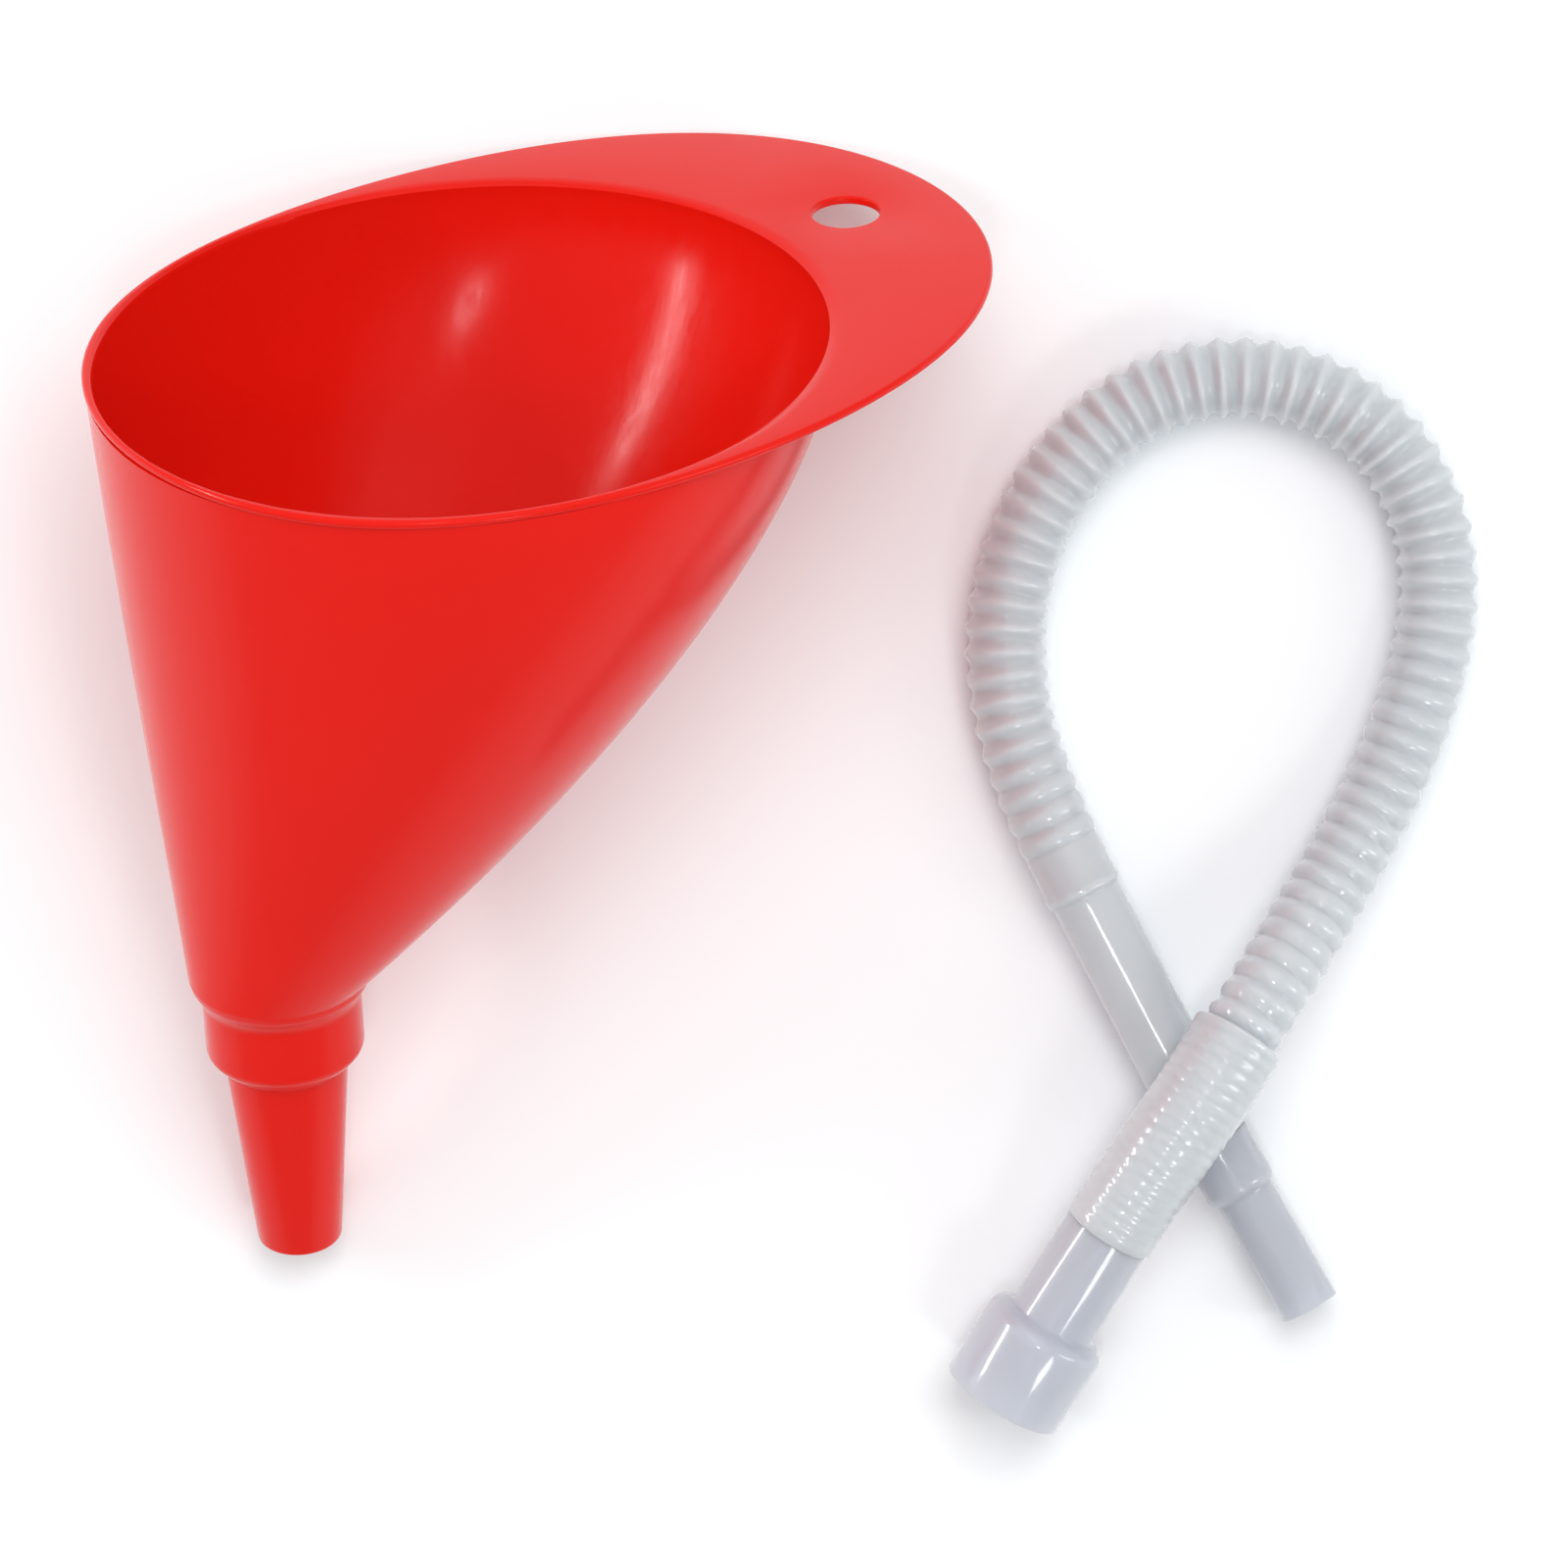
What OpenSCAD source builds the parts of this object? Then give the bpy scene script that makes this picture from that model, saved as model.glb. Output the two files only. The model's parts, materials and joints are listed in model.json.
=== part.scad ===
// Filling funnel with an off-centre bell and a flat hanging rim, lying on its side
// beside its push-on bellows hose. Millimetres, floor at z = 0.
// The funnel and strainer are drawn upright, with the spout's tip at the origin and the
// handle along +X, and lie() then lays them down on the rim's edge and the spout's tip.
// The two hose ends are drawn along +Z and placed on their own axes.

/* [Bell] */
// Height from the spout's tip to the top of the rim
funnel_h = 228; // [205:1:250]
// Half length of the mouth, measured towards the handle
mouth_half_l = 88.5; // [84:0.5:92]
// Half width of the mouth
mouth_half_w = 83; // [78:0.5:84]
// Distance of the mouth's centre from the spout's axis
mouth_offset = 62; // [58:0.5:65]
// Thickness of the bell's wall, measured level
wall_t = 1.8; // [1.4:0.1:2.2]
// Fullness of the arched long side, where 1 is a straight side
long_side_arch = 1.5; // [1:0.05:1.8]
// Fullness of the two flanks, where 1 is a straight side
flank_arch = 1.55; // [1:0.05:1.8]

/* [Rim] */
// Half length of the rim plate
rim_half_l = 113.5; // [110:0.5:118]
// Half width of the rim plate
rim_half_w = 92; // [91:0.5:96]
// Distance of the rim plate's centre from the spout's axis
rim_offset = 85.5; // [83:0.5:87]
// Thickness of the rim plate
rim_t = 2.2; // [1.8:0.1:3]
// Radius of the hang hole
hang_r = 8.3; // [5:0.1:10]
// Distance of the hang hole from the spout's axis
hang_x = 173; // [168:0.5:178]

/* [Neck and spout] */
// Length of the tapered spout
spout_l = 51.5; // [40:0.5:53]
// Outer radius of the spout at its tip
spout_tip_r = 10.3; // [10:0.1:11]
// Outer radius of the spout where it meets the neck
spout_top_r = 15; // [14:0.1:16]
// Length of the straight bore inside the spout's tip
outlet_l = 10; // [6:1:16]
// Outer radius of the neck's straight collar
collar_r = 19.3; // [18.5:0.1:20]
// Length of the neck's straight collar
collar_l = 15; // [12:0.5:18]

/* [Strainer] */
// Height of the strainer's ring
strainer_h = 7; // [6:0.5:9]
// Gap between the ring and the neck around it
strainer_gap = 0.3; // [0.2:0.05:0.5]
// Thickness of the gauze
gauze_t = 0.5; // [0.4:0.1:0.8]

/* [Hose] */
// Outer radius of the socket that pushes on to the spout
socket_r = 15.6; // [15.2:0.1:16]
// Radius of the socket's bore
socket_bore_r = 14.2; // [13.8:0.1:14.4]
// Length of the socket's wide part
socket_l = 22; // [20:0.5:24]
// Outer radius of the plain cuff behind the socket
cuff_r = 11; // [10.5:0.1:11.5]
// Length of the socket and its cuff together
cuff_end = 50; // [46:0.5:52]
// Outer radius of the close bellows
fine_r = 11.8; // [11:0.1:12]
// Outer radius of the open bellows
coarse_r = 10.2; // [9.8:0.1:10.3]
// Outer radius of the plain tube
plain_r = 9; // [8.8:0.1:9.4]
// Outer radius of the thin end of the nozzle
tip_r = 7.45; // [7:0.05:8]
// Length of the thin end of the nozzle
tip_l = 32; // [28:0.5:34]

/* [Lying position] */
// Turn of the handle away from level, towards the floor
handle_turn = 34; // [20:1:50]
// Turn of the whole funnel on the floor
floor_turn = 2; // [0:0.5:6]

/* [Hidden] */

RED = "#e63026";
GAUZE = "#c9a86a";
MILKY = "#cdd0d8";

// Roundness of turned parts, of the bell's rings and of the rim's outline
turned_fn = 96;
bell_sides = 84;
bell_rings = 22;
rim_sides = 144;

// Egg shape of the rim plate: narrower towards the handle, and fuller there than an ellipse
rim_egg = -0.045;
rim_full = 0.055;

// Heights up the spout's axis
shoulder_h = 4.5;
flare_h = 6;
collar_z = spout_l + shoulder_h;
flare_z = collar_z + collar_l;
bell_z = flare_z + flare_h;
bell_top_z = funnel_h - rim_t;

// Radii and walls of the neck and spout
bell_foot_r = 22.2;
spout_wall = 1.6;
neck_wall = 1.7;
outlet_r = spout_tip_r - spout_wall;
throat_r = spout_top_r - neck_wall;
collar_bore_r = collar_r - neck_wall;
// The short side stays near the axis and opens out towards the mouth at this rate
short_side_curve = 1.4;

// Sloping seat inside the neck, which the strainer's chamfer rests on
seat_z = spout_l + 1;
seat_top_z = seat_z + collar_bore_r - throat_r;

function level_turn(p, a) =
    [p.x * cos(a) - p.y * sin(a), p.x * sin(a) + p.y * cos(a), p.z];
function tip_over(p, a) =
    [p.x, p.y * cos(a) - p.z * sin(a), p.y * sin(a) + p.z * cos(a)];

// Outline of the rim plate
function rim_point(t) = [
    rim_offset + rim_half_l * cos(t),
    rim_half_w * sin(t) * (1 + rim_egg * cos(t) + rim_full * cos(2 * t))
];
rim_outline = [for (i = [0 : rim_sides - 1]) rim_point(360 * i / rim_sides)];

// The funnel lies on the rim edge that reaches furthest towards the floor
rim_reach = max([for (p = rim_outline) p.x * sin(handle_turn) + p.y * cos(handle_turn)]);
axis_rise = atan((rim_reach - spout_tip_r) / bell_top_z);

// Laid-down extremes, which centre the funnel over the origin
function laid(p) =
    level_turn(tip_over(level_turn(p, handle_turn), axis_rise - 90), floor_turn);
extremes = concat(
    [for (p = rim_outline, z = [bell_top_z, funnel_h]) laid([p.x, p.y, z])],
    [for (t = [0 : 5 : 355]) laid([spout_tip_r * cos(t), spout_tip_r * sin(t), 0])]
);
laid_x = [for (p = extremes) p.x];
laid_y = [for (p = extremes) p.y];
centre_x = (min(laid_x) + max(laid_x)) / 2;
centre_y = (min(laid_y) + max(laid_y)) / 2;

module lie() {
    translate([-centre_x, -centre_y, spout_tip_r * cos(axis_rise)])
        rotate([0, 0, floor_turn])
        rotate([axis_rise - 90, 0, 0])
        rotate([0, 0, handle_turn])
        children();
}

// ---- Bell ----

// One level ring of the bell at a share s of its height, drawn in by inset
function bell_ring(s, inset) =
    let (
        near = -bell_foot_r + (mouth_offset - mouth_half_l - wall_t + bell_foot_r)
            * pow(s, short_side_curve),
        far = bell_foot_r + (mouth_offset + mouth_half_l + wall_t - bell_foot_r)
            * (1 - pow(1 - s, long_side_arch)),
        flank = bell_foot_r + (mouth_half_w + wall_t - bell_foot_r)
            * (1 - pow(1 - s, flank_arch)),
        z = bell_z + (bell_top_z - bell_z) * s
    )
    [for (i = [0 : bell_sides - 1])
        let (t = 360 * i / bell_sides)
        [(near + far) / 2 + ((far - near) / 2 - inset) * cos(t),
         (flank - inset) * sin(t), z]];

// Rings are closer together near the mouth, where the arch turns most
function ring_share(k) = sin(90 * k / bell_rings);

// Closed wall through rings of points that run anticlockwise about the way the outer
// rings are listed: the outer rings first, then the inner ones back again
module wall_of(rings, sides) {
    count = len(rings);
    polyhedron(
        points = [for (r = rings) each r],
        faces = [
            for (k = [0 : count - 1], i = [0 : sides - 1])
                let (j = (i + 1) % sides, a = k * sides, b = (k + 1) % count * sides)
                each [[a + i, b + j, a + j], [a + i, b + i, b + j]]
        ]
    );
}

module funnel_bell() {
    color(RED) lie() wall_of(concat(
        [for (k = [0 : bell_rings]) bell_ring(ring_share(k), 0)],
        [for (k = [bell_rings : -1 : 0]) bell_ring(ring_share(k), wall_t)]
    ), bell_sides);
}

// ---- Rim ----

// The plate's handle end, with the hang hole, starts halfway from the mouth to the hole
tab_x = (mouth_offset + mouth_half_l + hang_x - hang_r) / 2;

module tab_side() {
    translate([tab_x, -funnel_h]) square([funnel_h, 2 * funnel_h]);
}

module rim_flange() {
    color(RED) lie() translate([0, 0, bell_top_z])
        linear_extrude(rim_t)
        difference() {
            polygon(rim_outline);
            polygon([for (i = [0 : bell_sides - 1])
                let (t = 360 * i / bell_sides)
                [mouth_offset + mouth_half_l * cos(t), mouth_half_w * sin(t)]]);
            tab_side();
        }
}

module hang_tab() {
    color(RED) lie() translate([0, 0, bell_top_z])
        linear_extrude(rim_t)
        difference() {
            intersection() {
                polygon(rim_outline);
                tab_side();
            }
            translate([hang_x, 0]) circle(hang_r, $fn = turned_fn);
        }
}

// ---- Neck and spout ----

module neck_collar() {
    color(RED) lie() rotate_extrude($fn = turned_fn) polygon([
        [throat_r, spout_l],
        [spout_top_r, spout_l],
        [spout_top_r + 1, spout_l + 0.8],
        [collar_r - 0.6, collar_z - 1],
        [collar_r, collar_z],
        [collar_r, flare_z],
        [collar_r + 0.7, flare_z + 1.6],
        [bell_foot_r - 0.8, bell_z - 2.4],
        [bell_foot_r, bell_z],
        [bell_foot_r - wall_t, bell_z],
        [bell_foot_r - wall_t - 0.8, bell_z - 2],
        [collar_bore_r, flare_z + 1],
        [collar_bore_r, seat_top_z],
        [throat_r, seat_z]
    ]);
}

module spout() {
    color(RED) lie() rotate_extrude($fn = turned_fn) polygon([
        [outlet_r, 0],
        [spout_tip_r, 0],
        [spout_top_r, spout_l],
        [throat_r, spout_l],
        [outlet_r, outlet_l]
    ]);
}

// ---- Strainer ----

ring_r = collar_bore_r - strainer_gap;
ring_wall = 1.4;
ledge_w = 1.4;
ring_z = seat_top_z - 1.2;
ledge_z = ring_z + 2.6;
rib_w = 1.2;
rib_h = 1.8;
tab_w = 9;
tab_t = 1.4;
tab_h = 9;

module strainer_ring() {
    hollow_r = ring_r - ring_wall;
    color(RED) lie() {
        rotate_extrude($fn = turned_fn) polygon([
            [hollow_r - ledge_w, ring_z],
            [ring_r - 1.5, ring_z],
            [ring_r, ring_z + 1.5],
            [ring_r, ring_z + strainer_h],
            [hollow_r, ring_z + strainer_h],
            [hollow_r, ledge_z],
            [hollow_r - ledge_w, ledge_z]
        ]);
        // Crossed ribs under the gauze
        for (a = [0, 90])
            rotate([0, 0, a])
            translate([-hollow_r + ledge_w / 2, -rib_w / 2, ledge_z - rib_h])
            cube([2 * hollow_r - ledge_w, rib_w, rib_h]);
        // Pull tab on the short side
        translate([-hollow_r - ring_wall / 2, -tab_w / 2, ring_z + strainer_h - 1])
            cube([tab_t, tab_w, tab_h]);
    }
}

module strainer_gauze() {
    color(GAUZE) lie() translate([0, 0, ledge_z])
        cylinder(r = ring_r - ring_wall, h = gauze_t, $fn = turned_fn);
}

// ---- Hose ----

// Centre of the socket's mouth, the way the hose runs from it and its upward pitch
socket_mouth = [111.5, -174.5, 15.3];
socket_heading = 58.5;
socket_pitch = 12;
// Wide end of the nozzle and the way it points
nozzle_start = [164, -111, 9];
nozzle_heading = -60;
nozzle_wide_l = 13;
nozzle_step_l = 3;

socket_way = [
    cos(socket_pitch) * cos(socket_heading),
    cos(socket_pitch) * sin(socket_heading),
    sin(socket_pitch)
];
nozzle_way = [cos(nozzle_heading), sin(nozzle_heading), 0];
cuff_centre = socket_mouth + cuff_end * socket_way;

// Centre line of the bellows tube between its two ends: up over the crossing, down to
// the floor, round the loop and back under itself
route = [
    cuff_centre,
    [148.5, -115.5, 30.0],
    [158.5, -101, 31.1],
    [169, -84.5, 29.6],
    [181, -66, 23.0],
    [193.5, -46, 15.4],
    [205, -25, 11.2],
    [214, -3, 10.3],
    [219, 19, 10.3],
    [217.5, 41, 10.3],
    [207, 61, 10.3],
    [188.5, 74, 10.3],
    [166, 77.5, 10.3],
    [145, 71, 10.3],
    [129, 57, 10.3],
    [117.5, 38, 10.3],
    [112.5, 16, 10.3],
    [114.5, -7, 10.3],
    [122, -29, 10.3],
    [132, -50, 9.8],
    [143, -71, 9.1],
    [154, -92, 9],
    nozzle_start
];
// The close bellows end and the plain tube starts at these route points
close_end = 3;
plain_start = 19;
hose_sides = 12;
hose_wall = 1.2;

// Points before the first and after the last carry the end pieces' straight lines on
function route_at(k) =
    k < 0 ? route[0] - 20 * socket_way
    : k >= len(route) ? nozzle_start + 20 * nozzle_way
    : route[k];
// Smooth curve through the route, with one more ring halfway along each stretch
function halfway(k) =
    (9 * (route_at(k) + route_at(k + 1)) - route_at(k - 1) - route_at(k + 2)) / 16;
hose_line = [
    for (k = [0 : len(route) - 2]) each [route[k], halfway(k)],
    nozzle_start
];
function heading_at(k) =
    k == 0 ? socket_way
    : k == len(hose_line) - 1 ? nozzle_way
    : hose_line[k + 1] - hose_line[k - 1];
function unit(v) = v / norm(v);
function hose_ring(k, r) =
    let (
        way = unit(heading_at(k)),
        side = unit(cross([0, 0, 1], way)),
        rise = cross(way, side)
    )
    [for (i = [0 : hose_sides - 1])
        let (t = 360 * i / hose_sides)
        hose_line[k] + r * (cos(t) * side + sin(t) * rise)];

// Hollow stretch of hose from one route point to another
module hose_stretch(first, last, r) {
    color(MILKY) wall_of(concat(
        [for (k = [2 * first : 2 * last]) hose_ring(k, r)],
        [for (k = [2 * last : -1 : 2 * first]) hose_ring(k, r - hose_wall)]
    ), hose_sides);
}

module hose_close_bellows() {
    hose_stretch(0, close_end, fine_r);
}

module hose_open_bellows() {
    hose_stretch(close_end, plain_start, coarse_r);
}

module hose_plain_tube() {
    hose_stretch(plain_start, len(route) - 1, plain_r);
}

module hose_socket() {
    wall = socket_r - socket_bore_r;
    bore_l = socket_l - 2;
    inner_r = cuff_r - wall;
    color(MILKY) translate(socket_mouth)
        rotate([0, 90 - socket_pitch, socket_heading])
        rotate_extrude($fn = turned_fn) polygon([
            [socket_bore_r, 0],
            [socket_r, 0],
            [socket_r, socket_l - 1.6],
            [socket_r - 0.6, socket_l - 0.5],
            [socket_r - 1.7, socket_l],
            [cuff_r + 0.6, socket_l + 1],
            [cuff_r, socket_l + 2],
            [cuff_r, cuff_end],
            [inner_r, cuff_end],
            [inner_r, bore_l],
            [socket_bore_r, bore_l]
        ]);
}

module hose_nozzle() {
    step_z = nozzle_wide_l + nozzle_step_l;
    bore_r = tip_r - hose_wall;
    color(MILKY) translate(nozzle_start)
        rotate([0, 90, nozzle_heading])
        rotate_extrude($fn = turned_fn) polygon([
            [plain_r - hose_wall, 0],
            [plain_r, 0],
            [plain_r, nozzle_wide_l],
            [plain_r - 0.4, nozzle_wide_l + 1.2],
            [tip_r, step_z],
            [tip_r, step_z + tip_l],
            [bore_r, step_z + tip_l],
            [bore_r, step_z],
            [plain_r - hose_wall, nozzle_wide_l]
        ]);
}

funnel_bell();
rim_flange();
hang_tab();
neck_collar();
spout();
strainer_ring();
strainer_gauze();
hose_socket();
hose_close_bellows();
hose_open_bellows();
hose_plain_tube();
hose_nozzle();
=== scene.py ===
"""Filling funnel lying beside its bellows hose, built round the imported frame. Metres."""

import bisect
import json
import math

import bmesh
import bpy
from mathutils import Matrix, Vector

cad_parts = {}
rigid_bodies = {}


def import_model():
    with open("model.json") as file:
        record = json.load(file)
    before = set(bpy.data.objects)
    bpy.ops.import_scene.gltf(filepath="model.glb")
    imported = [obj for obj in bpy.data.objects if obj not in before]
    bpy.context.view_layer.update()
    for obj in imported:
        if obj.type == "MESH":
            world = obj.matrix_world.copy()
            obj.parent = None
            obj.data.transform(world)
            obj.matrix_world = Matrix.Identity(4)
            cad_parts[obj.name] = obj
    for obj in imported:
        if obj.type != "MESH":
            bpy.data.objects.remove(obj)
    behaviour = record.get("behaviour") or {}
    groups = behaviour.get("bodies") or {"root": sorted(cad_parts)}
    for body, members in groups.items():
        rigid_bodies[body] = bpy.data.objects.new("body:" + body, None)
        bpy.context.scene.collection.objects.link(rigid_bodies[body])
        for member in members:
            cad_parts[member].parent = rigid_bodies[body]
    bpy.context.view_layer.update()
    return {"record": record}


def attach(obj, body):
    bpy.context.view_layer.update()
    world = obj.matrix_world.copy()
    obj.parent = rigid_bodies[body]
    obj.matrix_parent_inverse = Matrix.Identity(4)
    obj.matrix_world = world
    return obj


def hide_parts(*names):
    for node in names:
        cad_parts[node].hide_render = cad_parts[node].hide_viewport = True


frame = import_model()

MM = 0.001
mounts = {m["name"]: m for m in frame["record"]["mounts"]}


# ---- Places taken from the frame ----


def mount_place(name):
    return Vector(mounts[name]["pos_m"])


def mount_axis(name):
    return Vector(mounts[name]["axis"]).normalized()


def placing(origin, along, sideways):
    """Matrix whose Z runs along a piece's axis and whose X points as nearly sideways as it can."""
    x = (sideways - along * sideways.dot(along)).normalized()
    turn = Matrix((x, along.cross(x), along)).transposed()
    return Matrix.Translation(origin) @ turn.to_4x4()


# The funnel is drawn upright: spout tip at the origin, handle towards +X
OUTLET_MIDDLE = 5 * MM
funnel_up = mount_axis("hang_hole")
spout_tip = mount_place("spout_outlet") - funnel_up * OUTLET_MIDDLE
lying = placing(spout_tip, funnel_up, mount_place("hang_hole") - spout_tip)

# The hose's two ends are drawn along +Z from the places where they start
SOCKET_BORE_MIDDLE = 10 * MM
NOZZLE_TIP_MIDDLE = 32 * MM
socket_way = -mount_axis("hose_socket_bore")
socket_mouth = mount_place("hose_socket_bore") - socket_way * SOCKET_BORE_MIDDLE
nozzle_way = mount_axis("hose_tip")
nozzle_start = mount_place("hose_tip") - nozzle_way * NOZZLE_TIP_MIDDLE
socket_place = placing(socket_mouth, socket_way, Vector((0, 0, 1)))
nozzle_place = placing(nozzle_start, nozzle_way, Vector((0, 0, 1)))

# ---- Camera: straight above, with the middle and width of what it takes in ----

FRAME_CENTRE = (0.0576, -0.0229)
FRAME_WIDTH = 0.3902
CAMERA_HEIGHT = 1.8
camera_data = bpy.data.cameras.new("overhead_camera")
camera_data.sensor_width = 36
camera_data.lens = camera_data.sensor_width * CAMERA_HEIGHT / FRAME_WIDTH
camera = bpy.data.objects.new("overhead_camera", camera_data)
camera.location = (*FRAME_CENTRE, CAMERA_HEIGHT)
bpy.context.scene.collection.objects.link(camera)
bpy.context.scene.camera = camera

# ---- Mesh tools ----

SMOOTH_BELOW = math.radians(38)
TURNING_STEPS = 160
MERGE_WITHIN = 0.001 * MM


def ring_edges(ring):
    """Edges between neighbouring vertices of a closed ring."""
    return [
        next(e for e in a.link_edges if e.other_vert(a) is b)
        for a, b in zip(ring, ring[1:] + ring[:1])
    ]


def skin(bm, rings):
    """Draws an open skin through rings of points: a plain tube is cut into as many rings
    and each is moved on to its points. Returns the first and the last ring of vertices."""
    drawn_before = len(bm.verts)
    sides, last = len(rings[0]), len(rings) - 1
    tube = bmesh.ops.create_cone(
        bm, segments=sides, radius1=1, radius2=1, depth=last, cap_ends=False
    )["verts"]
    lengthwise = {
        e
        for v in tube
        for e in v.link_edges
        if abs(e.verts[0].co.z - e.verts[1].co.z) > 0.5
    }
    bmesh.ops.subdivide_edges(
        bm, edges=list(lengthwise), cuts=last - 1, use_grid_fill=True
    )
    bm.verts.ensure_lookup_table()
    ends = {0: [None] * sides, last: [None] * sides}
    for vert in bm.verts[drawn_before:]:
        ring = round(vert.co.z + last / 2)
        step = round(math.atan2(vert.co.y, vert.co.x) * sides / (2 * math.pi)) % sides
        vert.co = rings[ring][step]
        if ring in ends:
            ends[ring][step] = vert
    return ends[0], ends[last]


def closed_skin(bm, rings):
    """Skin whose last ring is joined to its first, as the wall of a hollow piece."""
    first, last = skin(bm, rings)
    bmesh.ops.bridge_loops(bm, edges=ring_edges(first) + ring_edges(last))


def turned(bm, outline, steps=TURNING_STEPS):
    """Turns a closed outline of (radius, height, rounding) in millimetres about the Z axis."""
    corners = [bm.verts.new((r * MM, 0, z * MM)) for r, z, _ in outline]
    for a, b in zip(corners, corners[1:] + corners[:1]):
        bm.edges.new((a, b))
    for corner, (_, _, rounding) in zip(corners, outline):
        if rounding:
            bmesh.ops.bevel(
                bm,
                geom=[corner],
                offset=rounding * MM,
                segments=4,
                profile=0.5,
                affect="VERTICES",
                material=-1,
            )
    bmesh.ops.spin(
        bm,
        geom=bm.verts[:] + bm.edges[:],
        cent=(0, 0, 0),
        axis=(0, 0, 1),
        angle=2 * math.pi,
        steps=steps,
        use_merge=True,
    )
    bmesh.ops.remove_doubles(bm, verts=bm.verts[:], dist=MERGE_WITHIN)


def add_block(bm, size, place, rounding):
    """Adds a bar or tab with rounded edges; size and rounding are in millimetres."""
    part = bmesh.new()
    bmesh.ops.create_cube(part, size=MM)
    bmesh.ops.scale(part, vec=size, verts=part.verts[:])
    bmesh.ops.bevel(
        part,
        geom=part.edges[:],
        offset=rounding * MM,
        segments=3,
        profile=0.5,
        affect="EDGES",
        material=-1,
    )
    part.transform(place)
    mesh = bpy.data.meshes.new("part")
    part.to_mesh(mesh)
    part.free()
    bm.from_mesh(mesh)
    bpy.data.meshes.remove(mesh)


def piece(name, bm, place, body, material, nodes, smooth_below=SMOOTH_BELOW):
    """Turns a finished bmesh into an object in the row frame that stands for CAD nodes."""
    bmesh.ops.recalc_face_normals(bm, faces=bm.faces[:])
    bm.transform(place)
    mesh = bpy.data.meshes.new(name)
    bm.to_mesh(mesh)
    bm.free()
    mesh.shade_smooth()
    mesh.set_sharp_from_angle(angle=smooth_below)
    mesh.materials.append(material)
    obj = bpy.data.objects.new(name, mesh)
    bpy.context.scene.collection.objects.link(obj)
    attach(obj, body)
    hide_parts(*nodes)
    return obj


# ---- Material tools ----


class Finish:
    """A node-built finish: short calls that add and join shader nodes."""

    def __init__(self, name):
        self.material = bpy.data.materials.new(name)
        self.material.use_nodes = True
        self.tree = self.material.node_tree
        self.shader = self.tree.nodes["Principled BSDF"]
        self.objects = self.add("ShaderNodeTexCoord").outputs["Object"]

    def add(self, kind, **settings):
        node = self.tree.nodes.new(kind)
        for key, value in settings.items():
            setattr(node, key, value)
        return node

    def join(self, source, target):
        self.tree.links.new(source, target)

    def surface(self, **values):
        """Sets the shader's own sockets, for what is the same all over the surface."""
        for key, value in values.items():
            self.shader.inputs[key.replace("_", " ")].default_value = value

    def varied(self, key, source):
        """Drives one of the shader's sockets with a pattern."""
        self.join(source, self.shader.inputs[key])

    def mapped(self, source, scale=(1, 1, 1), turn=(0, 0, 0)):
        node = self.add("ShaderNodeMapping")
        node.inputs["Scale"].default_value = scale
        node.inputs["Rotation"].default_value = turn
        self.join(source, node.inputs["Vector"])
        return node.outputs["Vector"]

    def noise(self, vector, scale, detail=3.0, roughness=0.5, distortion=0.0):
        node = self.add("ShaderNodeTexNoise")
        self.join(vector, node.inputs["Vector"])
        node.inputs["Scale"].default_value = scale
        node.inputs["Detail"].default_value = detail
        node.inputs["Roughness"].default_value = roughness
        node.inputs["Distortion"].default_value = distortion
        return node.outputs["Fac"]

    def spread(self, value, low, high, to_low, to_high):
        """Moves the stretch from low to high of a pattern on to another stretch."""
        node = self.add("ShaderNodeMapRange")
        self.join(value, node.inputs["Value"])
        for key, number in (
            ("From Min", low),
            ("From Max", high),
            ("To Min", to_low),
            ("To Max", to_high),
        ):
            node.inputs[key].default_value = number
        return node.outputs["Result"]

    def tint(self, value, low, high):
        """Colour that goes from low to high with a pattern."""
        node = self.add("ShaderNodeMix", data_type="RGBA")
        self.join(value, node.inputs["Factor"])
        node.inputs["A"].default_value = (*low, 1)
        node.inputs["B"].default_value = (*high, 1)
        return node.outputs["Result"]

    def sum_of(self, a, b, weight):
        """Pattern a with a share of pattern b on top."""
        node = self.add("ShaderNodeMath", operation="MULTIPLY_ADD")
        self.join(b, node.inputs[0])
        node.inputs[1].default_value = weight
        self.join(a, node.inputs[2])
        return node.outputs[0]

    def bump(self, height, strength, depth):
        node = self.add("ShaderNodeBump")
        node.inputs["Strength"].default_value = strength
        node.inputs["Distance"].default_value = depth
        self.join(height, node.inputs["Height"])
        self.varied("Normal", node.outputs["Normal"])


# Angles that turn the row frame's coordinates back to the upright funnel's
upright = tuple(lying.to_3x3().transposed().to_euler("XYZ"))
ALONG_WALL = (1, 1, 0.12)


def red_polypropylene():
    """Moulded polypropylene: soft gloss, faint flow lines and scuffs running up the wall."""
    f = Finish("red_polypropylene")
    f.surface(Base_Color=(0.72, 0.011, 0.006, 1), IOR=1.49, Specular_IOR_Level=0.18)
    along_wall = f.mapped(f.mapped(f.objects, turn=upright), scale=ALONG_WALL)
    cloud = f.noise(f.objects, scale=22)
    flow = f.noise(along_wall, scale=260, detail=4, roughness=0.6)
    scuff = f.noise(along_wall, scale=900, detail=5, roughness=0.7, distortion=0.4)
    f.varied("Base Color", f.tint(cloud, low=(0.71, 0.0085, 0.004), high=(0.74, 0.011, 0.005)))
    gloss = f.sum_of(flow, scuff, weight=0.6)
    f.varied("Roughness", f.spread(gloss, low=0.5, high=1.1, to_low=0.12, to_high=0.26))
    f.bump(f.sum_of(flow, scuff, weight=0.4), strength=0.13, depth=0.2 * MM)
    return f.material


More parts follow.
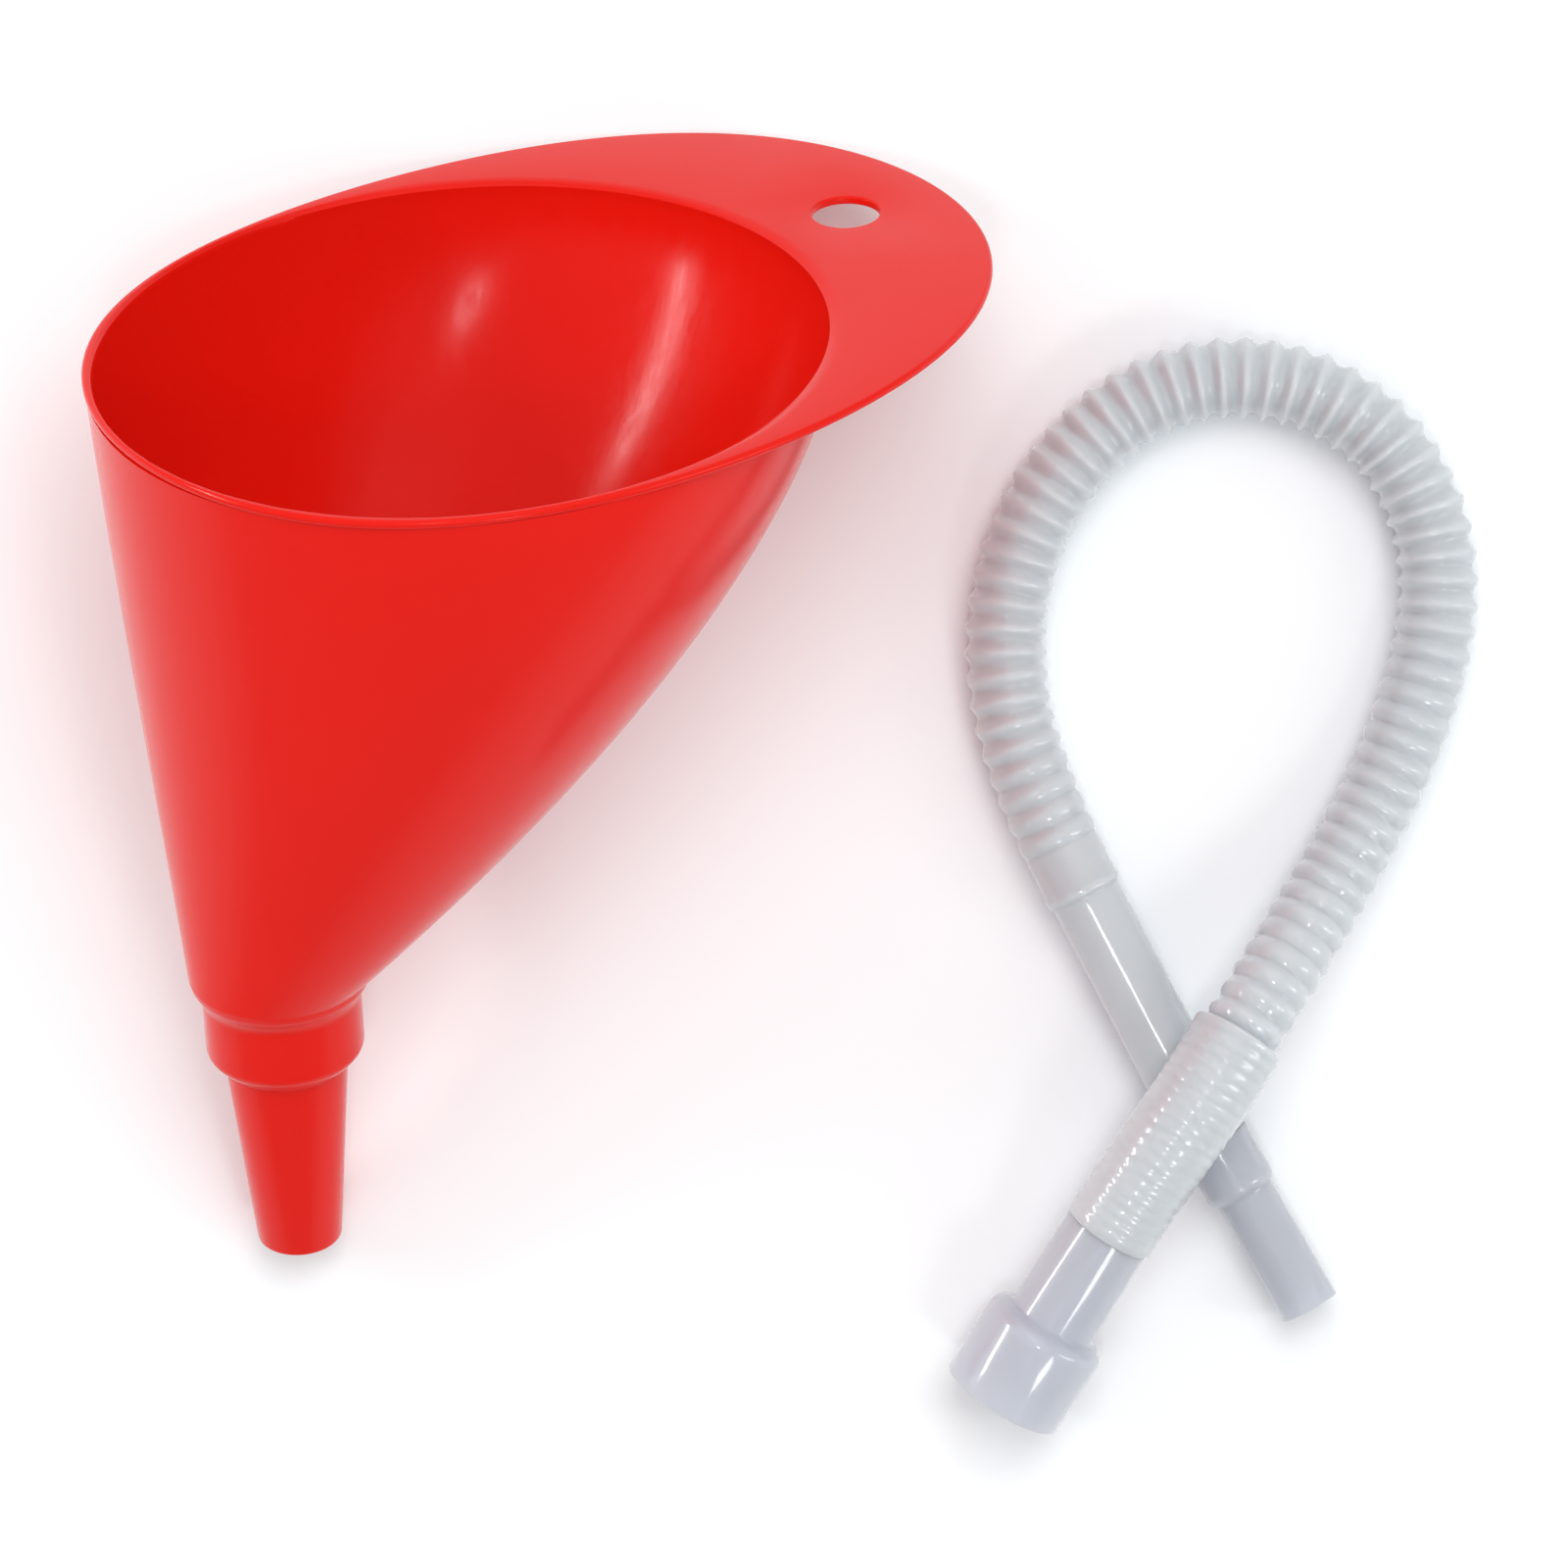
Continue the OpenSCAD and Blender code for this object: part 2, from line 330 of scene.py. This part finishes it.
def milky_plastic(name, thin, thick, clear):
    """Cloudy flexible plastic that lets light through and shines along its crests."""
    f = Finish(name)
    f.surface(
        Base_Color=(*thick, 1),
        IOR=1.46,
        Subsurface_Weight=1.0,
        Subsurface_Radius=(1, 1, 1),
        Subsurface_Scale=4 * MM,
        Transmission_Weight=clear,
        Coat_Weight=1.0,
        Coat_Roughness=0.09,
    )
    cloud = f.noise(f.objects, scale=35)
    f.varied("Base Color", f.tint(cloud, thin, thick))
    f.varied("Roughness", f.spread(cloud, low=0, high=1, to_low=0.29, to_high=0.4))
    return f.material


def woven_wire():
    """Thin drawn wire of the strainer's gauze."""
    f = Finish("gauze_wire")
    f.surface(Base_Color=(0.72, 0.58, 0.36, 1), Metallic=1.0)
    tarnish = f.noise(f.objects, scale=400)
    f.varied("Base Color", f.tint(tarnish, low=(0.62, 0.48, 0.28), high=(0.78, 0.64, 0.42)))
    f.varied("Roughness", f.spread(tarnish, low=0.3, high=0.7, to_low=0.25, to_high=0.42))
    return f.material


RED = red_polypropylene()
MILKY = milky_plastic("milky_pvc", thin=(0.78, 0.87, 0.98), thick=(0.84, 0.91, 0.99), clear=0.3)
# The end pieces' plastic lets more light through than the hose's. Its darker, greyer colour is
# painted shade, standing in for their dark inside seen through the wall.
CLEARER_SHADED = milky_plastic("clearer_shaded_pvc", thin=(0.64, 0.67, 0.75), thick=(0.70, 0.72, 0.79), clear=0.4)
WIRE = woven_wire()

# ---- Hose: the line that it follows ----

CUFF_END = 50 * MM
cuff_centre = socket_mouth + CUFF_END * socket_way

# Route points of the hose, in millimetres, from the cuff over the crossing, round the
# loop on the floor and back under itself to the nozzle
ROUTE = [
    (148.5, -115.5, 30.0),
    (158.5, -101, 31.1),
    (169, -84.5, 29.6),
    (181, -66, 23.0),
    (193.5, -46, 15.4),
    (205, -25, 11.2),
    (214, -3, 10.3),
    (219, 19, 10.3),
    (217.5, 41, 10.3),
    (207, 61, 10.3),
    (188.5, 74, 10.3),
    (166, 77.5, 10.3),
    (145, 71, 10.3),
    (129, 57, 10.3),
    (117.5, 38, 10.3),
    (112.5, 16, 10.3),
    (114.5, -7, 10.3),
    (122, -29, 10.3),
    (132, -50, 9.8),
    (143, -71, 9.1),
    (154, -92, 9),
]

# Route points, counted from the cuff, where the close bellows end and the plain tube starts
CLOSE_END_POINT = 3
PLAIN_START_POINT = 19

# Straight lead into each end piece, and how often every span of the route is halved
LEAD = 20 * MM
HALVINGS = 5
SPAN_STEPS = 2**HALVINGS


def hose_curve():
    """Smooth curve through the route, which runs straight out of both end pieces. Each round
    puts a new point in the middle of every span, bent by the points on either side."""
    line = [cuff_centre] + [Vector(p) * MM for p in ROUTE] + [nozzle_start]
    lead = LEAD
    for _ in range(HALVINGS):
        led = [line[0] - lead * socket_way] + line + [line[-1] + lead * nozzle_way]
        finer = []
        for a, b, c, d in zip(led, led[1:], led[2:], led[3:]):
            finer += [b, (9 * (b + c) - a - d) / 16]
        line = finer + [line[-1]]
        lead /= 2
    return line


hose_line = hose_curve()
hose_reach = [0.0]
for a, b in zip(hose_line, hose_line[1:]):
    hose_reach.append(hose_reach[-1] + (b - a).length)
LAST_POINT = len(hose_line) - 1

# Points of the line on either side that set its heading and its bend
HEADING_STEPS = 4
BEND_STEPS = 12

SLEEVE_LENGTH = 13 * MM
close_end = hose_reach[CLOSE_END_POINT * SPAN_STEPS]
plain_start = hose_reach[PLAIN_START_POINT * SPAN_STEPS]
sleeve_start = plain_start - SLEEVE_LENGTH
hose_end = hose_reach[-1]


def point_before(reach):
    """Number of the last point of the hose's line that isn't past a distance along it."""
    passed = bisect.bisect_right(hose_reach, reach)
    return min(max(passed - 1, 0), LAST_POINT - 1)


def on_hose(reach):
    """Place and heading at a distance along the hose."""
    k = point_before(reach)
    share = (reach - hose_reach[k]) / (hose_reach[k + 1] - hose_reach[k])
    place = hose_line[k].lerp(hose_line[k + 1], min(max(share, 0), 1))
    if reach <= 0:
        return place, socket_way
    if reach >= hose_end:
        return place, nozzle_way
    back = hose_line[max(k - HEADING_STEPS, 0)]
    ahead = hose_line[min(k + 1 + HEADING_STEPS, LAST_POINT)]
    return place, (ahead - back).normalized()


def hose_bend(reach):
    """How sharply the hose bends at a distance along it, in radians per metre."""
    k = point_before(reach)
    coming = hose_line[max(k, BEND_STEPS)] - hose_line[max(k - BEND_STEPS, 0)]
    going = hose_line[min(k + BEND_STEPS, LAST_POINT)] - hose_line[min(k, LAST_POINT - BEND_STEPS)]
    near = hose_reach[max(k - BEND_STEPS // 2, 0)]
    far = hose_reach[min(k + BEND_STEPS // 2, LAST_POINT)]
    return coming.normalized().angle(going.normalized()) / (far - near)


# ---- Hose: its ridges, tube and end pieces ----

HOSE_SIDES = 36
HOSE_WALL = 1.1 * MM
CUFF_R = 11 * MM
CLOSE_R, CLOSE_PITCH, CLOSE_DEPTH = 11.8 * MM, 2.9 * MM, 0.2 * MM
CLOSE_START, CLOSE_STEPS, CLOSE_SHARPNESS = 1 * MM, 6, 1.2
OPEN_R, OPEN_PITCH, OPEN_STEPS = 10.2 * MM, 5.95 * MM, 14
SLEEVE_R, BAND_R = 9.65 * MM, 9.95 * MM
PLAIN_R, PLAIN_STEPS = 9 * MM, 24

# Depth (in millimetres) and sharpness of an open ridge on a straight stretch, and what
# each radian per metre of bend adds to them
OPEN_DEPTH, DEPTH_PER_BEND = 0.9, 32 * MM
OPEN_SHARPNESS, SHARPNESS_PER_BEND = 0.8, 80 * MM


def ridge_steps(start, end, pitch, steps):
    """Walks along a bellows. Each step gives its distance along the hose, its share of the
    way over its ridge, and the distance of the ridge's crest."""
    count = round((end - start) / pitch)
    for n in range(count):
        crest = start + (end - start) * (n + 0.5) / count
        for k in range(steps):
            share = k / steps
            yield start + (end - start) * (n + share) / count, share, crest


def ridge(radius, depth, share, sharpness):
    """Outer radius at a share of the way over a ridge, from one groove to the next."""
    return radius - depth * (1 - math.sin(math.pi * share) ** sharpness)


def close_bellows():
    """Fine shallow ridges, with the step up from the cuff. Pairs of (distance, radius)."""
    stations = [
        (0, CUFF_R),
        (0.1 * MM, CUFF_R + 0.35 * MM),
        (0.5 * MM, CLOSE_R - 0.15 * MM),
    ]
    for reach, share, _ in ridge_steps(CLOSE_START, close_end, CLOSE_PITCH, CLOSE_STEPS):
        stations.append((reach, ridge(CLOSE_R, CLOSE_DEPTH, share, CLOSE_SHARPNESS)))
    return stations


def open_bellows():
    """Wide ridges, which stand out deeper and sharper where the hose bends."""
    stations = []
    for reach, share, crest in ridge_steps(close_end, sleeve_start, OPEN_PITCH, OPEN_STEPS):
        bend = hose_bend(crest)
        depth = (OPEN_DEPTH + DEPTH_PER_BEND * bend) * MM
        sharpness = OPEN_SHARPNESS + SHARPNESS_PER_BEND * bend
        stations.append((reach, ridge(OPEN_R, depth, share, sharpness)))
    return stations


def plain_end():
    """Sleeve with a raised band, the step down from it, and the plain tube."""
    step_down = 1 * MM
    stations = [
        (sleeve_start, SLEEVE_R - 0.25 * MM),
        (sleeve_start + 1 * MM, SLEEVE_R),
        (plain_start - 2.6 * MM, SLEEVE_R),
        (plain_start - 2 * MM, BAND_R),
        (plain_start - 1 * MM, BAND_R),
        (plain_start - 0.3 * MM, SLEEVE_R),
        (plain_start + 0.3 * MM, PLAIN_R + 0.1 * MM),
        (plain_start + step_down, PLAIN_R),
    ]
    for k in range(1, PLAIN_STEPS + 1):
        along = (hose_end - plain_start - step_down) * (k / PLAIN_STEPS)
        stations.append((plain_start + step_down + along, PLAIN_R))
    return stations


def hose_rings(stations):
    """Rings of points round the hose's line; the first point of each is at its side."""
    rings = []
    for reach, radius in stations:
        place, heading = on_hose(reach)
        side = Vector((0, 0, 1)).cross(heading).normalized()
        rise = heading.cross(side)
        ring = []
        for k in range(HOSE_SIDES):
            turn = 2 * math.pi * k / HOSE_SIDES
            ring.append(place + radius * math.cos(turn) * side + radius * math.sin(turn) * rise)
        rings.append(ring)
    return rings


def make_hose():
    bm = bmesh.new()
    outer = close_bellows() + open_bellows() + plain_end()
    inner = [(reach, radius - HOSE_WALL) for reach, radius in reversed(outer)]
    closed_skin(bm, hose_rings(outer) + hose_rings(inner))
    return piece(
        "bellows_hose",
        bm,
        Matrix.Identity(4),
        "hose",
        MILKY,
        ["hose_close_bellows", "hose_open_bellows", "hose_plain_tube"],
        smooth_below=math.pi,
    )


def make_socket():
    """Wide end that pushes on to the spout, with its plain cuff."""
    bm = bmesh.new()
    turned(
        bm,
        [
            (14.2, 0, 0.35),
            (15.6, 0, 0.45),
            (15.6, 22, 2.4),
            (11.2, 23.2, 0.8),
            (11, 50, 0),
            (9.6, 50, 0),
            (9.6, 20, 0.8),
            (14.2, 20, 1.5),
        ],
    )
    return piece("hose_socket_end", bm, socket_place, "hose", CLEARER_SHADED, ["hose_socket"])


def make_nozzle():
    """Stepped nozzle on the hose's other end."""
    bm = bmesh.new()
    turned(
        bm,
        [
            (7.8, 0, 0),
            (9, 0, 0),
            (9, 13.8, 1.2),
            (7.45, 15.4, 0.8),
            (7.45, 48, 0.45),
            (6.25, 48, 0.3),
            (6.25, 16, 1.0),
            (7.8, 13, 1.0),
        ],
    )
    return piece("hose_nozzle_end", bm, nozzle_place, "hose", CLEARER_SHADED, ["hose_nozzle"])


socket = make_socket()
nozzle = make_nozzle()
hose = make_hose()

# ---- Funnel, upright and in millimetres ----

# Half length, half width and middle of the mouth and of the rim
MOUTH_L, MOUTH_W, MOUTH_X = 88.5, 83.0, 62.0
RIM_L, RIM_W, RIM_X = 113.5, 92.0, 85.5
RIM_TOP = 228.0
HANG_X, HANG_R = 173.0, 8.3
WALL = 1.8
BELL_Z, BELL_TOP = 77.0, 225.8
BELL_FOOT_R = 22.2
COLLAR_R, COLLAR_BORE = 19.3, 17.6
SPOUT_TOP, SPOUT_R, SPOUT_BORE = 51.5, 15, 13.3
OUTLET_R, OUTLET_BORE, OUTLET_DEPTH = 10.3, 8.7, 10

# How fast each side of the bell sweeps out: the short side is nearly straight
SHORT_SWEEP, LONG_SWEEP, FLANK_SWEEP = 1.4, 1.5, 1.55
BELL_SIDES, BELL_RINGS = 192, 56
RIM_SIDES, HOLE_SIDES = 288, 96

# How the rim's outline departs from an oval: narrower towards the handle, and in its middle
RIM_TAPER, RIM_WAIST = 0.045, 0.055

# Widths of the rim's rounded edges, each kept to a share of the rim where it is narrow
RIM_ROUND, RIM_ROUND_SHARE = 1.0, 0.4
MOUTH_ROLL, MOUTH_ROLL_SHARE = 3.4, 0.35
HOLE_ROUND = 0.6


def bell_ring(share, inset):
    """Level ring of the bell at a share of its height, drawn in by inset."""
    near = -BELL_FOOT_R + (MOUTH_X - MOUTH_L - WALL + BELL_FOOT_R) * share**SHORT_SWEEP
    far_travel = MOUTH_X + MOUTH_L + WALL - BELL_FOOT_R
    far = BELL_FOOT_R + far_travel * (1 - (1 - share) ** LONG_SWEEP)
    flank = BELL_FOOT_R + (MOUTH_W + WALL - BELL_FOOT_R) * (1 - (1 - share) ** FLANK_SWEEP)
    height = BELL_Z + (BELL_TOP - BELL_Z) * share
    ring = []
    for k in range(BELL_SIDES):
        t = 2 * math.pi * k / BELL_SIDES
        x = (near + far) / 2 + ((far - near) / 2 - inset) * math.cos(t)
        ring.append(Vector((x, (flank - inset) * math.sin(t), height)) * MM)
    return ring


def funnel_piece(name, bm, nodes):
    return piece(name, bm, lying, "funnel", RED, nodes)


def make_bell():
    bm = bmesh.new()
    shares = [math.sin(math.pi / 2 * k / BELL_RINGS) for k in range(BELL_RINGS + 1)]
    outer = [bell_ring(share, 0) for share in shares]
    inner = [bell_ring(share, WALL) for share in reversed(shares)]
    closed_skin(bm, outer + inner)
    return funnel_piece("bell_moulding", bm, ["funnel_bell"])


def rim_outline():
    """Egg-shaped outline of the rim, narrower towards the handle."""
    points = []
    for k in range(RIM_SIDES):
        t = 2 * math.pi * k / RIM_SIDES
        fullness = 1 - RIM_TAPER * math.cos(t) + RIM_WAIST * math.cos(2 * t)
        width = RIM_W * math.sin(t) * fullness
        points.append(Vector((RIM_X + RIM_L * math.cos(t), width)))
    return points


def oval(middle, half_length, half_width, sides):
    """Oval outline whose middle is on the funnel's X axis."""
    points = []
    for k in range(sides):
        t = 2 * math.pi * k / sides
        points.append(Vector((middle + half_length * math.cos(t), half_width * math.sin(t))))
    return points


def outward(points):
    """Unit normals that point away from the inside of an anticlockwise outline."""
    result = []
    for before, after in zip(points[-1:] + points[:-1], points[1:] + points[:1]):
        along = (after - before).normalized()
        result.append(Vector((along.y, -along.x)))
    return result


def web_at(points, others):
    """How wide the rim is at each point of one outline, measured to the other outline."""
    return [min((p - q).length for q in others) for p in points]


def edge_rings(points, widths, profile):
    """Rings over an edge of the rim. profile lists (share of the width, height), and a
    positive width moves a ring outward from its outline."""
    rings = []
    for share, height in profile:
        rings.append(
            [
                Vector((*(p + n * w * share), height)) * MM
                for p, n, w in zip(points, outward(points), widths)
            ]
        )
    return rings


def rounded_edge(top, bottom, top_drop, bottom_rise, steps=5):
    """Profile of a rounded edge: shares 1 at the faces and 0 at the edge's widest."""
    turns = [math.pi / 2 * k / steps for k in range(steps + 1)]
    over = [(1 - math.sin(t), top - top_drop * (1 - math.cos(t))) for t in turns]
    under = [(1 - math.cos(t), bottom + bottom_rise * (1 - math.sin(t))) for t in turns]
    return over + under


def lead_in(top, bottom, drop, steps=8):
    """Profile of the mouth's edge: the face rolls gently over and ends in a crisp line."""
    roll = [(1 - k / steps, top - drop * (k / steps) ** 2) for k in range(steps + 1)]
    return roll + [(0, bottom)]


def make_rim():
    bm = bmesh.new()
    outline = rim_outline()
    mouth = oval(MOUTH_X, MOUTH_L, MOUTH_W, RIM_SIDES)
    hole = oval(HANG_X, HANG_R, HANG_R, HOLE_SIDES)
    outline_widths = [-min(RIM_ROUND, RIM_ROUND_SHARE * web) for web in web_at(outline, mouth)]
    mouth_widths = [min(MOUTH_ROLL, MOUTH_ROLL_SHARE * web) for web in web_at(mouth, outline)]
    hole_widths = [HOLE_ROUND] * HOLE_SIDES
    outline_edge = rounded_edge(RIM_TOP, BELL_TOP, top_drop=1.0, bottom_rise=0.8)
    mouth_edge = lead_in(RIM_TOP, BELL_TOP, drop=0.9)
    hole_edge = rounded_edge(RIM_TOP, BELL_TOP, top_drop=0.6, bottom_rise=0.6)
    tops, bottoms = [], []
    for rings in (
        edge_rings(outline, outline_widths, outline_edge),
        edge_rings(mouth, mouth_widths, mouth_edge),
        edge_rings(hole, hole_widths, hole_edge),
    ):
        first, last = skin(bm, rings)
        tops += ring_edges(first)
        bottoms += ring_edges(last)
    for edges in (tops, bottoms):
        bmesh.ops.triangle_fill(bm, edges=edges, use_beauty=True)
    return funnel_piece("rim_moulding", bm, ["rim_flange", "hang_tab"])


def make_neck():
    """Straight collar between two sloped shoulders."""
    bm = bmesh.new()
    turned(
        bm,
        [
            (SPOUT_BORE, SPOUT_TOP, 0),
            (SPOUT_R, SPOUT_TOP, 0),
            (15.6, 51.9, 0.4),
            (COLLAR_R, 56, 1.2),
            (COLLAR_R, 71.6, 1.6),
            (21.7, 75, 0.8),
            (BELL_FOOT_R, BELL_Z, 0),
            (BELL_FOOT_R - WALL, BELL_Z, 0),
            (19.6, 75, 0.8),
            (COLLAR_BORE, 72, 1.0),
            (COLLAR_BORE, 56.8, 0.5),
            (SPOUT_BORE, 52.5, 0.5),
        ],
    )
    return funnel_piece("neck_moulding", bm, ["neck_collar"])


def make_spout():
    """Tapered spout with a straight length of bore at its tip."""
    bm = bmesh.new()
    turned(
        bm,
        [
            (OUTLET_BORE, 0, 0.4),
            (OUTLET_R, 0, 0.9),
            (SPOUT_R, SPOUT_TOP, 0),
            (SPOUT_BORE, SPOUT_TOP, 0),
            (OUTLET_BORE, OUTLET_DEPTH, 1.5),
        ],
    )
    return funnel_piece("spout_moulding", bm, ["spout"])


make_bell()
make_rim()
make_neck()
make_spout()

# ---- Strainer, also upright and in millimetres ----

RING_R, RING_Z, RING_H = 17.3, 55.6, 7.0
RING_WALL, LEDGE_WIDTH, RING_CHAMFER = 1.4, 1.4, 1.5
HOLLOW_R = RING_R - RING_WALL
LEDGE_R = HOLLOW_R - LEDGE_WIDTH
LEDGE_Z = RING_Z + 2.6
RIB_WIDTH, RIB_HEIGHT = 1.2, 1.8
TAB_THICKNESS, TAB_WIDTH, TAB_HEIGHT = 1.4, 9, 9
TAB_SUNK = 1
WIRE_R, WIRE_PITCH, WIRE_WAVE, WIRE_SIDES = 0.11, 1.05, 0.12, 5
STEPS_PER_PITCH = 4
GAUZE_LIFT, GAUZE_GAP = 0.25, 0.1


def strainer_piece(name, bm, material, nodes):
    return piece(name, bm, lying, "strainer", material, nodes)


def make_strainer_ring():
    """Ring with a ledge for the gauze, two crossed ribs under it and a pull tab."""
    bm = bmesh.new()
    turned(
        bm,
        [
            (LEDGE_R, RING_Z, 0.3),
            (RING_R - RING_CHAMFER, RING_Z, 0.3),
            (RING_R, RING_Z + RING_CHAMFER, 0.4),
            (RING_R, RING_Z + RING_H, 0.4),
            (HOLLOW_R, RING_Z + RING_H, 0.4),
            (HOLLOW_R, LEDGE_Z, 0.2),
            (LEDGE_R, LEDGE_Z, 0.2),
        ],
        steps=128,
    )
    rib_length = 2 * HOLLOW_R - LEDGE_WIDTH
    rib_place = Matrix.Translation((0, 0, (LEDGE_Z - RIB_HEIGHT / 2) * MM))
    for turn in (0, math.pi / 2):
        add_block(
            bm,
            (rib_length, RIB_WIDTH, RIB_HEIGHT),
            Matrix.Rotation(turn, 4, "Z") @ rib_place,
            rounding=0.25,
        )
    tab_middle = RING_Z + RING_H - TAB_SUNK + TAB_HEIGHT / 2
    add_block(
        bm,
        (TAB_THICKNESS, TAB_WIDTH, TAB_HEIGHT),
        Matrix.Translation((-HOLLOW_R * MM, 0, tab_middle * MM)),
        rounding=0.45,
    )
    return strainer_piece("strainer_basket", bm, RED, ["strainer_ring"])


def wire_ring(along, across, rise, crosswise):
    """Points round a wire at a place along it, for a wire that runs along X or along Y."""
    ring = []
    for c in range(WIRE_SIDES):
        a = 2 * math.pi * c / WIRE_SIDES
        aside = across + WIRE_R * math.cos(a)
        x, y = (along, aside) if crosswise else (aside, along)
        ring.append(Vector((x, y, rise + WIRE_R * math.sin(a))) * MM)
    return ring


def make_gauze():
    """Plain weave of thin wires that pass over and under each other."""
    bm = bmesh.new()
    middle = LEDGE_Z + GAUZE_LIFT
    reach = HOLLOW_R - GAUZE_GAP
    count = int(reach / WIRE_PITCH)
    for crosswise in (0, 1):
        for n in range(-count, count + 1):
            offset = n * WIRE_PITCH
            half = math.sqrt(reach**2 - offset**2)
            steps = max(STEPS_PER_PITCH, int(STEPS_PER_PITCH * 2 * half / WIRE_PITCH))
            rings = []
            for k in range(steps + 1):
                along = -half + 2 * half * k / steps
                wave = WIRE_WAVE * math.cos(math.pi * (along / WIRE_PITCH + n + crosswise))
                rings.append(wire_ring(along, offset, middle + wave, crosswise))
            for end in skin(bm, rings):
                bmesh.ops.contextual_create(bm, geom=ring_edges(end))
    return strainer_piece("strainer_weave", bm, WIRE, ["strainer_gauze"])


make_strainer_ring()
make_gauze()

# ---- Floor, light and background ----

FLOOR_SIZE = 8


def pale_floor():
    f = Finish("pale_floor")
    f.surface(Roughness=0.6)
    shade = f.noise(f.objects, scale=6, detail=2)
    f.varied("Base Color", f.tint(shade, low=(0.89, 0.905, 0.91), high=(0.91, 0.925, 0.93)))
    return f.material


def make_floor():
    bm = bmesh.new()
    bmesh.ops.create_grid(bm, x_segments=1, y_segments=1, size=FLOOR_SIZE)
    mesh = bpy.data.meshes.new("floor")
    bm.to_mesh(mesh)
    bm.free()
    mesh.materials.append(pale_floor())
    floor = bpy.data.objects.new("floor", mesh)
    bpy.context.scene.collection.objects.link(floor)


def softbox(name, place, aim, width, height, power):
    data = bpy.data.lights.new(name, "AREA")
    data.shape = "RECTANGLE"
    data.size, data.size_y = width, height
    data.energy = power
    light = bpy.data.objects.new(name, data)
    light.location = place
    towards = Vector(aim) - Vector(place)
    light.rotation_euler = towards.to_track_quat("-Z", "Y").to_euler()
    bpy.context.scene.collection.objects.link(light)
    return light


def around(azimuth, elevation, distance):
    """Place at a compass angle, a height angle and a distance from the row frame's origin."""
    a, e = math.radians(azimuth), math.radians(elevation)
    level = distance * math.cos(e)
    return (level * math.cos(a), level * math.sin(a), distance * math.sin(e))


make_floor()

# The ceiling panel gives even light only, and stays out of the gloss. The others each
# leave a soft streak: inside the bell, up its two sides, and on the hose and the spout
MIDDLE = (0, 0, 0.05)
ceiling = softbox("ceiling", (0.3, 0.65, 1.9), MIDDLE, width=1.2, height=1.2, power=17)
ceiling.visible_glossy = False
softbox("lamp_above", (-0.02, -0.38, 2.0), (0.14, -0.06, 0), width=0.2, height=0.2, power=3.0)
softbox("key_right", around(-62, 46, 1.9), MIDDLE, width=0.3, height=0.3, power=3)
softbox("left_strip", around(168, 25, 1.3), MIDDLE, width=0.62, height=0.11, power=5)
softbox("right_strip", around(-14, 28, 1.3), MIDDLE, width=0.2, height=0.6, power=2)
softbox("back_panel", around(80, 38, 2.0), MIDDLE, width=2.4, height=1.6, power=3.5)

world = bpy.data.worlds.new("pale_surroundings")
world.use_nodes = True
background = world.node_tree.nodes["Background"]
background.inputs["Color"].default_value = (0.97, 0.98, 1, 1)
background.inputs["Strength"].default_value = 0.58
bpy.context.scene.world = world
bpy.context.scene.view_settings.view_transform = "Standard"
